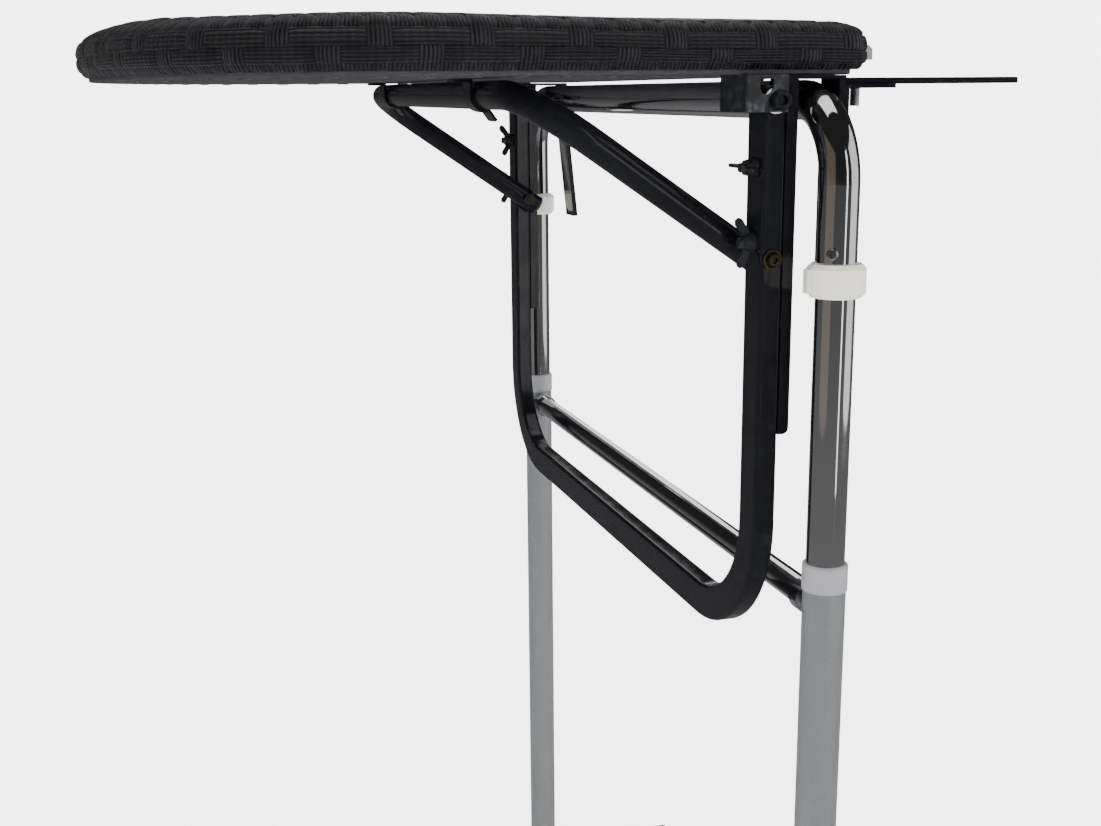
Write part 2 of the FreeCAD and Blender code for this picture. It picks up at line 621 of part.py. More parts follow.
def hinge_bracket(side):
    """Folded bracket under the board: side ear on the hinge bolt, front plate and top flange."""
    x_out = BRACKET_X1 + BRACKET_T
    ear = box(BRACKET_X1, x_out, BRACKET_Y0, BRACKET_Y1, BRACKET_LOW, PLATE_UNDER)
    front = box(BRACKET_X0, x_out, BRACKET_Y0, BRACKET_Y0 + BRACKET_T, BRACKET_LOW, PLATE_UNDER)
    flange = box(BRACKET_X0, x_out, BRACKET_Y0, BRACKET_Y1, PLATE_UNDER - BRACKET_T, PLATE_UNDER)
    bracket = joined([ear, front, flange])
    fold = [e for e in bracket.Edges if e.BoundBox.ZLength > 15 and abs(e.BoundBox.XMin - x_out) < 0.01
            and abs(e.BoundBox.YMin - BRACKET_Y0) < 0.01]
    bracket = bracket.makeFillet(2.0, fold)
    notch_y = LEG_Y - 38.0
    notch = box(BRACKET_X1 - 0.1, x_out + 1, notch_y - 4.5, notch_y + 4.5, BAR_Z + 8.0, PLATE_UNDER - BRACKET_T)
    notch = notch.fuse(rod((BRACKET_X1 - 0.1, notch_y, BAR_Z + 8.0), X_AXIS, BRACKET_T + 1, 4.5))
    bracket = bracket.cut(notch).cut(rod((BRACKET_X1 - 5, HINGE_Y, HINGE_Z), X_AXIS, 15, M8))
    for x, y in bracket_screw_places():
        bracket = bracket.cut(rod((x, y, PLATE_UNDER - 5), Z_AXIS, 10, BOARD_SCREW_R + 0.05))
    return sided(bracket, side)


def bracket_screw_places():
    front = BRACKET_Y0 + 7.0
    near = BRACKET_X0 + 5.5
    return [(near, front), (near + 20.0, front), (near, BRACKET_Y1 - 5.0)]


def plate_screws():
    """Pan-head screws up through the bracket flanges into the board plate."""
    screws = []
    for x, y in bracket_screw_places():
        seat = PLATE_UNDER - BRACKET_T
        head = rod((x, y, seat - 1.8), Z_AXIS, 1.8, 3.6)
        head = head.makeFillet(1.0, [e for e in head.Edges if abs(e.BoundBox.ZMax - seat + 1.8) < 0.01])
        screw = joined([head, rod((x, y, seat), Z_AXIS, BRACKET_T, BOARD_SCREW_R)])
        screws += [screw, mirrored(screw)]
    return group(screws)


def pull_tab():
    """Small stitched tab at the cover's right rear corner."""
    low = PLATE_UNDER + PLATE_T + PAD_LOW_ROUND
    high = low + TAB_HEIGHT
    rear = PAD_REAR + TAB_LENGTH
    tab = box(BOARD_HALF - 32.0, BOARD_HALF - 16.0, PAD_REAR, rear, low, high)
    return tab.makeChamfer(2.5, [e for e in tab.Edges if abs(e.BoundBox.ZMin - high) < 0.01
                                 and abs(e.BoundBox.YMin - rear) < 0.01])


nodes["top_frame"] = top_frame()
nodes["crossbar"] = crossbar()
nodes["crossbar_ferrules"] = crossbar_ferrules()
nodes["leg_bushings"] = leg_bushings()
nodes["leg_collars"] = leg_collars()
nodes["stop_screws"] = stop_screws()
nodes["foot_caps_front"] = foot_caps(True)
nodes["foot_caps_rear"] = foot_caps(False)
nodes["u_frame"] = u_frame()
nodes["frame_plugs"] = frame_plugs()
nodes["clamp_bolts"] = clamp_bolts()
nodes["clamp_washers"] = clamp_washers()
nodes["rear_brackets"] = rear_brackets()
nodes["rear_bracket_screws"] = bracket_screws()
nodes["rear_arm"] = rear_arm()
nodes["hinge_bolts"] = hinge_bolts()
nodes["hinge_nuts"] = hinge_nuts()
nodes["hinge_washers"] = hinge_washers()
nodes["stay_pivot_bolts"] = stay_pivot_bolts()
nodes["stay_pivot_nuts"] = stay_pivot_nuts()
nodes["stay"] = stay()
nodes["stay_end_caps"] = stay_end_caps()
nodes["board_plate"] = board_plate()
nodes["pad_cover"] = pad_cover()
nodes["foam_core"] = foam_core()
nodes["plate_screws"] = plate_screws()
nodes["pull_tab"] = pull_tab()
for side in SIDES:
    nodes["lower_leg_" + side] = lower_leg(side)
    nodes["foot_tube_" + side] = foot_tube(side)
    nodes["hook_rail_" + side] = hook_rail(side)
    nodes["hinge_bracket_" + side] = hinge_bracket(side)
    nodes["stay_clip_" + side] = stay_clip(side)
    for row in NUT_HEIGHTS:
        nodes["wing_nut_" + row + "_" + side] = wing_nut(row, side)

for name, shape in nodes.items():
    shape.exportStep("parts/" + name + ".step")
    solids = len(shape.Solids)
    low = shape.BoundBox
    print("%-24s %2d solids  valid %s  volume %10.1f  x %.1f..%.1f y %.1f..%.1f z %.1f..%.1f" % (
        name, solids, shape.isValid(), shape.Volume, low.XMin, low.XMax, low.YMin, low.YMax, low.ZMin, low.ZMax))
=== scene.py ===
"""Looks for the padded folding board on its hook-on frame and chrome stand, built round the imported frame."""

import math

import bmesh
import bpy
import numpy as np
from mathutils import Matrix, Vector


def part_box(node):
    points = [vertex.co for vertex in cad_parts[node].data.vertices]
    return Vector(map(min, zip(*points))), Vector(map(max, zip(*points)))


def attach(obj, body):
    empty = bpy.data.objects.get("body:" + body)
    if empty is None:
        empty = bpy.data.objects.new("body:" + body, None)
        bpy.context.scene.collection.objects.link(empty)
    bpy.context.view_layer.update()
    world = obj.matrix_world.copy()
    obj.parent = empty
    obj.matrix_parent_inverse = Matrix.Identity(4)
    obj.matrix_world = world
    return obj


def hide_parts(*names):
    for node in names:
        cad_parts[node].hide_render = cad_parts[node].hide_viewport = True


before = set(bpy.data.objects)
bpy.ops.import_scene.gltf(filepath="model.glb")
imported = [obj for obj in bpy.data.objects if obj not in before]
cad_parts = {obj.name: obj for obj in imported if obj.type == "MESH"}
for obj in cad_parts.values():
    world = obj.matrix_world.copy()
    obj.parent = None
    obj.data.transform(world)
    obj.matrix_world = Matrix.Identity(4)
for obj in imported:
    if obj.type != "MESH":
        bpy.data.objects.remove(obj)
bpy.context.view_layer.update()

bl_info = {
    "name": "Padded Folding Board",
    "version": (1, 0, 0),
    "blender": (4, 5, 0),
    "location": "View3D > Sidebar > Folding Board",
    "description": "Builds the soft parts, small fittings and finishes of a padded folding board",
    "category": "Add Mesh",
}

SIDES = (1, -1)
PLATE_LOW, PLATE_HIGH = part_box("board_plate")
COVER_LOW, COVER_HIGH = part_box("pad_cover")

# The pad's outline, in metres
NOSE_DEPTH = 0.178        # how far the elliptic nose runs forward of the straight sides
CORNER_R = 0.005          # rear corners
UNDER_INSET = 0.012       # from the outline to where the cover turns flat underneath
FULL_Y = 0.03             # the pad grows slightly thicker forward of this line
LIFT_LENGTH = 0.12        # and reaches its full thickness over this length

# The weave and the coarse shell that carries it
WARP_PER_REPEAT = 4       # one warp in four shows between the long side floats
COARSE_PER_REPEAT = 6     # coarse columns in one repeat, before two subdivisions
REPEATS = 33              # weave repeats round the pad
COARSE_ACROSS = 60        # coarse columns along the rear edge, and along the nose
WEFT_START = 0.0055       # length of the first weft that is hidden under the lower rim
UNDER_RELIEF = 0.35       # share of the strap height on the flat underside
TOP_SHIFT = 10.0          # added to V on top, which tells the top's weave from the sides'
TOP_WARP_START = 30       # whole pitches that keep the top's pattern coordinates above zero
TOP_WEFT_START = 40
ROUND_MARKS = ("round_cos", "round_sin", "climb")

# The cloth simulation
LAST_FRAME = 20
EVEN_REACH = 8            # neighbours each side that even out the cloth round the rim
EVEN_PASSES = 12          # rounds of evening out on top

# Small fittings, in metres
FRAME_TUBE_HALF = 0.0125  # half the width of the U-frame's tube
SINK_HEAD_R = 0.0056      # countersunk heads of the bracket screws
PIVOT_TIP_X = 0.247       # where the stay pivot bolts end
STAPLE_INSET = 0.030


# ---------------------------------------------------------------- materials

def linear(hex_colour):
    """An sRGB hex value as linear RGBA."""
    channels = [int(hex_colour[i:i + 2], 16) / 255 for i in (1, 3, 5)]
    return [c / 12.92 if c <= 0.04045 else ((c + 0.055) / 1.055) ** 2.4 for c in channels] + [1.0]


def add_node(tree, kind, inputs=(), **settings):
    """A node with its settings, and its inputs set or linked."""
    made = tree.nodes.new(kind)
    for key, value in settings.items():
        setattr(made, key, value)
    for key, value in dict(inputs).items():
        if isinstance(value, bpy.types.NodeSocket):
            tree.links.new(value, made.inputs[key])
        else:
            made.inputs[key].default_value = value
    return made


def calc(tree, operation, *values):
    """The value of one Math node."""
    return add_node(tree, "ShaderNodeMath", dict(enumerate(values)), operation=operation).outputs[0]


def new_material(name, **surface):
    """A material with its shader's own numbers set; colours are hex values."""
    material = bpy.data.materials.new(name)
    material.use_nodes = True
    tree = material.node_tree
    shader = tree.nodes["Principled BSDF"]
    for key, value in surface.items():
        key = key.replace("_", " ").title().replace("Ior", "IOR")
        shader.inputs[key].default_value = linear(value) if isinstance(value, str) else value
    return material, tree, shader


def object_noise(tree, scale, detail=4.0, stretch=(1, 1, 1), rough=0.55):
    """Noise on the object's own coordinates, with scale in features per metre."""
    place = add_node(tree, "ShaderNodeTexCoord").outputs["Object"]
    if stretch != (1, 1, 1):
        place = add_node(tree, "ShaderNodeMapping", {"Vector": place, "Scale": stretch}).outputs[0]
    return add_node(tree, "ShaderNodeTexNoise",
                    {"Vector": place, "Scale": scale, "Detail": detail, "Roughness": rough}).outputs["Fac"]


def spread(tree, value, low, high, start=0.3, stop=0.7):
    """A noise value spread over a wanted range."""
    ends = {"From Min": start, "From Max": stop, "To Min": low, "To Max": high}
    return add_node(tree, "ShaderNodeMapRange", {"Value": value, **ends}).outputs[0]


def two_colours(tree, shader, value, first, second):
    """The surface's colour varies between two near tones."""
    mixed = add_node(tree, "ShaderNodeMix", {0: value, 6: linear(first), 7: linear(second)}, data_type="RGBA")
    tree.links.new(mixed.outputs[2], shader.inputs["Base Color"])


def bump(tree, shader, height, depth, after=None):
    """A bump whose height is in metres."""
    inputs = {"Height": height, "Distance": depth, "Strength": 1.0}
    if after is not None:
        inputs["Normal"] = after
    made = add_node(tree, "ShaderNodeBump", inputs)
    tree.links.new(made.outputs[0], shader.inputs["Normal"])
    return made.outputs[0]


def chrome_plate(look):
    # Decorative chrome on polished tube: mirror-bright, with faint handling haze and a slight ripple
    material, tree, shader = new_material("chrome_plate", metallic=1.0)
    haze = object_noise(tree, 38.0, 6.0)
    tree.links.new(spread(tree, haze, 0.03, 0.11), shader.inputs["Roughness"])
    two_colours(tree, shader, object_noise(tree, 9.0), look.chrome_hex, "#E6E6E8")
    ripple = object_noise(tree, 60.0, 2.0, (1, 1, 0.25))
    bump(tree, shader, ripple, 0.00005)
    return material


def satin_tube(look):
    # Grey metallic lacquer on drawn steel tube: satin, slightly cloudy, with a fine metal fleck
    material, tree, shader = new_material("satin_metallic_lacquer", metallic=0.85, coat_weight=0.25,
                                          coat_roughness=0.3)
    two_colours(tree, shader, object_noise(tree, 900.0, 2.0), look.satin_hex, "#A4A6A8")
    cloud = object_noise(tree, 26.0, 5.0, (1, 1, 0.2))
    tree.links.new(spread(tree, cloud, 0.3, 0.42), shader.inputs["Roughness"])
    bump(tree, shader, object_noise(tree, 1500.0, 2.0), 0.00002)
    return material


def black_enamel(look):
    # Stoved black enamel: glossy, with a soft orange peel about 2 mm across and light rub marks
    material, tree, shader = new_material("black_stove_enamel", ior=1.52, specular_ior_level=0.3)
    tree.links.new(spread(tree, object_noise(tree, 60.0, 8.0), 0.1, 0.2), shader.inputs["Roughness"])
    two_colours(tree, shader, object_noise(tree, 20.0), look.enamel_hex, "#0B0C0F")
    peel = bump(tree, shader, object_noise(tree, 420.0, 1.0), 0.000016)
    bump(tree, shader, object_noise(tree, 1800.0, 3.0), 0.000003, peel)
    return material


def worn_black():
    # Black paint over folded sheet: duller, with blue-grey scuffs where parts have rubbed
    material, tree, shader = new_material("scuffed_black_paint", ior=1.5)
    scuff = object_noise(tree, 140.0, 9.0, (1, 1, 1), 0.68)
    mask = spread(tree, scuff, 0.0, 1.0, 0.52, 0.66)
    two_colours(tree, shader, mask, "#0D0E10", "#2B3038")
    tree.links.new(spread(tree, scuff, 0.55, 0.3), shader.inputs["Roughness"])
    bump(tree, shader, scuff, 0.00008)
    return material


def zinc_plate():
    # Bright zinc on pressed steel: pale, a little cloudy, blue-white
    material, tree, shader = new_material("bright_zinc_plate", metallic=1.0)
    two_colours(tree, shader, object_noise(tree, 260.0, 5.0), "#9FA2A6", "#C9CBCC")
    tree.links.new(spread(tree, object_noise(tree, 400.0), 0.22, 0.42), shader.inputs["Roughness"])
    bump(tree, shader, object_noise(tree, 1400.0, 3.0), 0.00003)
    return material


def dark_zinc():
    # Black-passivated zinc on the clamping hardware: nearly black with a grey bloom on its grain
    material, tree, shader = new_material("black_zinc_casting", metallic=0.7)
    two_colours(tree, shader, object_noise(tree, 500.0, 5.0), "#141517", "#2E3033")
    tree.links.new(spread(tree, object_noise(tree, 300.0), 0.28, 0.5), shader.inputs["Roughness"])
    bump(tree, shader, object_noise(tree, 1300.0, 3.0), 0.00008)
    return material


def yellow_zinc():
    # Yellow chromate on zinc, dulled with age: dark brass drifting to olive
    material, tree, shader = new_material("yellow_chromate_zinc", metallic=1.0)
    two_colours(tree, shader, object_noise(tree, 330.0, 3.0), "#4E4630", "#3F3E32")
    tree.links.new(spread(tree, object_noise(tree, 500.0), 0.25, 0.42), shader.inputs["Roughness"])
    bump(tree, shader, object_noise(tree, 1500.0, 3.0), 0.00003)
    return material


def black_oxide():
    # Oiled black oxide on alloy-steel bolts: satin charcoal with brighter rubbed spots
    material, tree, shader = new_material("black_oxide_steel", metallic=0.9)
    two_colours(tree, shader, object_noise(tree, 420.0, 6.0), "#17181B", "#34373D")
    tree.links.new(spread(tree, object_noise(tree, 260.0), 0.25, 0.45), shader.inputs["Roughness"])
    bump(tree, shader, object_noise(tree, 1600.0, 3.0), 0.00004)
    return material


def white_nylon(look):
    # Moulded nylon: warm white and slightly waxy, with faint flow marks and a few dirty specks
    material, tree, shader = new_material("moulded_white_nylon", ior=1.53, roughness=0.34,
                                          subsurface_weight=0.12, subsurface_scale=0.002)
    specks = spread(tree, object_noise(tree, 260.0, 6.0, (1, 1, 1), 0.7), 0.0, 1.0, 0.6, 0.75)
    two_colours(tree, shader, specks, look.nylon_hex, "#87847B")
    bump(tree, shader, object_noise(tree, 700.0, 3.0), 0.00006)
    return material


def moulded_plastic(name, light, dark, rough):
    # Polypropylene moulding with a fine spark-eroded grain
    material, tree, shader = new_material(name, ior=1.49)
    two_colours(tree, shader, object_noise(tree, 60.0), light, dark)
    tree.links.new(spread(tree, object_noise(tree, 500.0), rough, rough + 0.14), shader.inputs["Roughness"])
    bump(tree, shader, object_noise(tree, 1300.0, 2.0), 0.00009)
    return material


def painted_plywood():
    # Black-stained thin plywood: the grain still shows as long low ridges
    material, tree, shader = new_material("black_stained_plywood", ior=1.5)
    grain = object_noise(tree, 180.0, 6.0, (0.06, 1, 1))
    two_colours(tree, shader, grain, "#15151A", "#26262B")
    tree.links.new(spread(tree, grain, 0.42, 0.62), shader.inputs["Roughness"])
    bump(tree, shader, grain, 0.00012)
    return material


def tab_webbing():
    # Grey webbing tab: a plain weave with 1 mm yarns, and a soft sheen
    material, tree, shader = new_material("grey_webbing", roughness=0.8, sheen_weight=0.3)
    place = add_node(tree, "ShaderNodeTexCoord").outputs["Object"]
    axes = add_node(tree, "ShaderNodeSeparateXYZ", {"Vector": place})
    turn = 2 * math.pi / 0.0011
    across = calc(tree, "SINE", calc(tree, "MULTIPLY", axes.outputs[0], turn))
    along = calc(tree, "SINE", calc(tree, "MULTIPLY", axes.outputs[2], turn))
    yarn = calc(tree, "MULTIPLY", across, along)
    two_colours(tree, shader, spread(tree, yarn, 0.0, 1.0, -1.0, 1.0), "#4A4C50", "#6E7175")
    bump(tree, shader, yarn, 0.0002)
    return material


def foam_finish():
    # Open-cell foam, dull and slightly speckled
    material, tree, shader = new_material("open_cell_foam", roughness=0.95)
    two_colours(tree, shader, object_noise(tree, 900.0), "#8E8B80", "#A9A698")
    return material


def woven_strap(look):
    """Ribbed near-black strap, woven one under three round the sides and three over one on top."""
    # Flat synthetic strap: five or six ribs about 2 mm wide, coloured lighter on their crests as a painted
    # highlight and darker in the gaps as painted shade
    material, tree, shader = new_material("ribbed_woven_strap", specular_ior_level=0.45, sheen_weight=0.02,
                                          sheen_roughness=0.4)
    lay = add_node(tree, "ShaderNodeUVMap", uv_map="weave").outputs[0]
    axes = add_node(tree, "ShaderNodeSeparateXYZ", {"Vector": lay})
    on_top = calc(tree, "GREATER_THAN", axes.outputs[1], TOP_SHIFT / 2)
    warp = calc(tree, "DIVIDE", axes.outputs[0], look.warp_pitch)
    climb = calc(tree, "SUBTRACT", axes.outputs[1], calc(tree, "MULTIPLY", on_top, TOP_SHIFT))
    weft = calc(tree, "DIVIDE", climb, look.weft_pitch)
    warp_cell = calc(tree, "FLOOR", warp)
    weft_cell = calc(tree, "FLOOR", weft)

    def shows_once_in_four(cell, row):
        offset = calc(tree, "MULTIPLY", calc(tree, "FLOORED_MODULO", row, 2.0), 2.0)
        phase = calc(tree, "FLOORED_MODULO", calc(tree, "ADD", cell, offset), 4.0)
        return calc(tree, "LESS_THAN", phase, 0.5)

    side_warp = shows_once_in_four(warp_cell, weft_cell)
    from_middle = calc(tree, "ABSOLUTE", calc(tree, "SUBTRACT", weft_cell, 1.5))
    edge_row = calc(tree, "GREATER_THAN", from_middle, 1.0)
    side_warp = calc(tree, "MAXIMUM", side_warp, edge_row)
    top_warp = calc(tree, "SUBTRACT", 1.0, shows_once_in_four(weft_cell, warp_cell))
    mask = add_node(tree, "ShaderNodeMix", {0: on_top, 2: side_warp, 3: top_warp}).outputs[0]

    def ribs(value, count):
        wave = calc(tree, "COSINE", calc(tree, "MULTIPLY", value, 2 * math.pi * count))
        return calc(tree, "ADD", calc(tree, "MULTIPLY", wave, -0.5), 0.5)

    warp_ribs = ribs(warp, 6)
    weft_ribs = ribs(weft, 5)
    stitch = calc(tree, "ADD", calc(tree, "MULTIPLY", ribs(warp, 3), 0.35), 0.65)
    weft_ribs = calc(tree, "MULTIPLY", weft_ribs, stitch)
    rib = add_node(tree, "ShaderNodeMix", {0: mask, 2: weft_ribs, 3: warp_ribs}).outputs[0]
    dust = object_noise(tree, 55.0, 6.0)
    # Near-black strap colour: the rib crests take the lighter tone as a painted highlight, the gaps the darker
    # tone as painted shade, varied by the dust noise
    two_colours(tree, shader, calc(tree, "MULTIPLY", rib, spread(tree, dust, 0.55, 1.0)),
                look.strap_groove_painted_shade_hex, look.strap_crest_painted_highlight_hex)
    tree.links.new(spread(tree, object_noise(tree, 90.0, 5.0), 0.36, 0.52), shader.inputs["Roughness"])
    ribbed = bump(tree, shader, rib, 0.0006)
    bump(tree, shader, object_noise(tree, 1600.0, 3.0), 0.00006, ribbed)
    return material


def pale_floor():
    # Matt studio floor, even and pale, with the faintest tooth
    material, tree, shader = new_material("pale_studio_floor", roughness=0.85, emission_color="#FFFFFF",
                                          emission_strength=2.2)
    two_colours(tree, shader, object_noise(tree, 3.0), "#ECECEC", "#EFEFEF")
    bump(tree, shader, object_noise(tree, 300.0), 0.0001)
    return material


# ---------------------------------------------------------------- meshes

def mesh_object(name, verts, faces):
    """A smooth-shaded mesh in the scene."""
    mesh = bpy.data.meshes.new(name)
    mesh.from_pydata([tuple(v) for v in verts], [], [tuple(int(i) for i in f) for f in faces])
    mesh.validate()
    mesh.polygons.foreach_set("use_smooth", [True] * len(mesh.polygons))
    made = bpy.data.objects.new(name, mesh)
    bpy.context.scene.collection.objects.link(made)
    return made


def plain_copy(made):
    """Replaces a live object by a plain mesh of what its modifiers give."""
    depsgraph = bpy.context.evaluated_depsgraph_get()
    mesh = bpy.data.meshes.new_from_object(made.evaluated_get(depsgraph))
    made.modifiers.clear()
    made.data = mesh
    return made


def positions(mesh):
    """The vertices' places as rows of x, y and z."""
    values = np.empty(len(mesh.vertices) * 3, np.float32)
    mesh.vertices.foreach_get("co", values)
    return values.reshape(-1, 3).astype(float)


def board_outline(count):
    """Evenly spaced points round the board's D, from the right rear corner, nose-wards first."""
    half = COVER_HIGH.x
    rear = COVER_HIGH.y
    turn_y = COVER_LOW.y + NOSE_DEPTH
    corner = CORNER_R
    fine = []
    for t in np.linspace(0, 1, 120, endpoint=False):
        fine.append((half, rear - corner + (turn_y - rear + corner) * t))
    for a in np.linspace(0, math.pi, 900, endpoint=False):
        fine.append((half * math.cos(a), turn_y - NOSE_DEPTH * math.sin(a)))
    for t in np.linspace(0, 1, 120, endpoint=False):
        fine.append((-half, turn_y + (rear - corner - turn_y) * t))
    for a in np.linspace(math.pi, math.pi / 2, 24, endpoint=False):
        fine.append((-half + corner + corner * math.cos(a), rear - corner + corner * math.sin(a)))
    for t in np.linspace(0, 1, 200, endpoint=False):
        fine.append((-half + corner + (2 * half - 2 * corner) * t, rear))
    for a in np.linspace(math.pi / 2, 0, 24, endpoint=False):
        fine.append((half - corner + corner * math.cos(a), rear - corner + corner * math.sin(a)))
    fine = np.array(fine + fine[:1])
    steps = np.hypot(*np.diff(fine, axis=0).T)
    along = np.concatenate([[0], np.cumsum(steps)])
    wanted = np.linspace(0, along[-1], count, endpoint=False)
    points = np.column_stack([np.interp(wanted, along, fine[:, k]) for k in (0, 1)])
    return points, along[-1]


def rim_profile(height, low_round, top_round):
    """The pad's edge from underneath to the shoulder: (inset, height, distance) in metres."""
    rows = [(UNDER_INSET, 0.0)]
    for a in np.linspace(0, math.pi / 2, 4):
        rows.append((low_round * (1 - math.sin(a)), low_round * (1 - math.cos(a))))
    straight = height - low_round - top_round
    for k in (1, 2):
        rows.append((0.0, low_round + straight * k / 3))
    for a in np.linspace(0, math.pi / 2, 5):
        rows.append((top_round * (1 - math.cos(a)), low_round + straight + top_round * math.sin(a)))
    rows = np.array(rows)
    steps = np.hypot(*np.diff(rows, axis=0).T)
    distance = np.concatenate([[0], np.cumsum(steps)]) - steps[0]
    return rows, distance


def outward(points):
    """The outward direction at each point of a closed outline that runs clockwise from above."""
    ahead = np.roll(points, -1, axis=0) - np.roll(points, 1, axis=0)
    ahead /= np.hypot(*ahead.T)[:, None]
    return np.column_stack([-ahead[:, 1], ahead[:, 0]])


def droop(points, pad):
    """How far the pad's top sinks towards its rear corners, where the cover is pulled down."""
    back = np.clip((points[:, 1] - (COVER_HIGH.y - pad.droop_length)) / pad.droop_length, 0, 1)
    out = np.clip(np.abs(points[:, 0]) / COVER_HIGH.x, 0, 1) ** 4
    return pad.rear_droop * back ** 2 * (0.45 + 0.55 * out)


def coarse_pad(pad):
    """Closed shell of the pad: a flat underside, its rounded rim and a four-sided patch on top."""
    count = REPEATS * COARSE_PER_REPEAT
    across = COARSE_ACROSS
    deep = (count - 2 * across) // 2
    outline, length = board_outline(count)
    base = PLATE_HIGH.z
    height = COVER_HIGH.z - COVER_LOW.z - pad.slack
    rows, distance = rim_profile(height, pad.low_round, pad.top_round)
    nose = np.clip((COVER_LOW.y + NOSE_DEPTH - outline[:, 1]) / NOSE_DEPTH, 0, 1) ** 1.5
    verts = []
    marks = []
    angle = 2 * np.pi * np.arange(count) / count
    for (inset, rise), v in zip(rows, distance):
        fuller = pad.nose_round if rise > height / 2 else 0.0
        ring = outline + outward(outline) * (pad.proud - inset * (1 + fuller * nose))[:, None]
        share = rise / height
        lift = pad.front_lift * np.clip((FULL_Y - outline[:, 1]) / LIFT_LENGTH, 0, 1) * share
        sink = droop(outline, pad) * share ** 1.5
        verts.append(np.column_stack([ring, base + rise + lift - sink]))
        marks.append(np.column_stack([np.cos(angle), np.sin(angle), np.full(count, v)]))
    verts = list(np.vstack(verts))
    marks = list(np.vstack(marks))
    faces = [list(range(count))]
    for r in range(len(rows) - 1):
        for c in range(count):
            d = (c + 1) % count
            a, b = r * count, (r + 1) * count
            faces.append([a + c, b + c, b + d, a + d])
    last = (len(rows) - 1) * count
    loop = last + np.arange(count + 1) % count
    # The loop starts at the right rear corner: right side, nose arc, left side, rear edge
    grid = np.full((deep + 1, across + 1), -1)
    grid[:, 0] = loop[:deep + 1]
    grid[deep, :] = loop[deep:deep + across + 1]
    grid[:, across] = loop[deep + across:2 * deep + across + 1][::-1]
    grid[0, :] = loop[2 * deep + across:][::-1]
    edge = np.array(verts)
    corner = [edge[grid[0, 0]], edge[grid[0, across]], edge[grid[deep, 0]], edge[grid[deep, across]]]
    for i in range(1, deep):
        s = i / deep
        for j in range(1, across):
            t = j / across
            point = ((1 - t) * edge[grid[i, 0]] + t * edge[grid[i, across]]
                     + (1 - s) * edge[grid[0, j]] + s * edge[grid[deep, j]]
                     - (1 - s) * ((1 - t) * corner[0] + t * corner[1])
                     - s * ((1 - t) * corner[2] + t * corner[3]))
            grid[i, j] = len(verts)
            verts.append(point)
            marks.append(np.array([0.0, 0.0, distance[-1] + 1.0]))
    for i in range(deep):
        for j in range(across):
            faces.append([grid[i, j], grid[i, j + 1], grid[i + 1, j + 1], grid[i + 1, j]])
    made = mesh_object("pad", verts, faces)
    for k, name in enumerate(ROUND_MARKS):
        layer = made.data.attributes.new(name, "FLOAT", "POINT")
        layer.data.foreach_set("value", np.array(marks)[:, k].astype(np.float32))
    work = bmesh.new()
    work.from_mesh(made.data)
    bmesh.ops.recalc_face_normals(work, faces=work.faces)
    work.to_mesh(made.data)
    work.free()
    return made, grid, outline, length, distance[-1]


def smooth_round(values, reach):
    """Evens out values round a closed loop."""
    total = sum(np.roll(values, k, axis=-1) for k in range(-reach, reach + 1))
    return total / (2 * reach + 1)


def inflate(made, pad, grid, outline):
    """Foam pushes the cover out from inside: cloth under pressure, pinned along the board's underside."""
    before = positions(made.data)
    pins = made.vertex_groups.new(name="pinned")
    pins.add(list(range(2 * len(outline))), 1.0, "REPLACE")
    cloth = made.modifiers.new("cloth", "CLOTH")
    cloth.settings.vertex_group_mass = "pinned"
    cloth.settings.use_pressure = True
    cloth.settings.uniform_pressure_force = pad.pressure
    cloth.settings.effector_weights.gravity = 0.0
    cloth.settings.quality = 5
    cloth.settings.mass = 0.3
    cloth.settings.tension_stiffness = 18.0
    cloth.settings.compression_stiffness = 18.0
    cloth.settings.bending_stiffness = 1.2
    cloth.settings.air_damping = 4.0
    cloth.point_cache.frame_start = 1
    cloth.point_cache.frame_end = LAST_FRAME
    scene = bpy.context.scene
    for number in range(1, LAST_FRAME + 1):
        scene.frame_set(number)
        bpy.context.evaluated_depsgraph_get()
    plain_copy(made)
    scene.frame_set(1)
    moved = positions(made.data) - before
    # The foam's own stiffness evens out the cloth and holds its edge: a low crown on top, fuller sides
    rows = grid[0, 0] // len(outline) + 1
    away = outward(outline)
    rings = moved[:rows * len(outline)].reshape(rows, len(outline), 3)
    out = np.clip(smooth_round((rings[:, :, :2] * away).sum(axis=2), EVEN_REACH), 0, pad.swell / 3)
    up = np.clip(smooth_round(rings[:, :, 2], EVEN_REACH), 0, pad.swell / 2)
    calm = np.concatenate([out[:, :, None] * away, up[:, :, None]], axis=2)
    rise = moved[grid, 2]
    crown = pad.swell * (1 - np.exp(-np.maximum(rise, 0) / (0.3 * rise.max())))
    flat = np.zeros_like(moved)
    flat[:rows * len(outline)] = calm.reshape(-1, 3)
    top = flat[grid, 2]
    top[1:-1, 1:-1] = crown[1:-1, 1:-1]
    for _ in range(EVEN_PASSES):
        top[1:-1, 1:-1] = (top[:-2, 1:-1] + top[2:, 1:-1] + top[1:-1, :-2] + top[1:-1, 2:]) / 4
    flat[grid[1:-1, 1:-1], 2] = top[1:-1, 1:-1]
    place = before + flat
    place[:, 2] = np.maximum(place[:, 2], PLATE_HIGH.z)
    made.data.vertices.foreach_set("co", place.astype(np.float32).ravel())
    made.vertex_groups.clear()


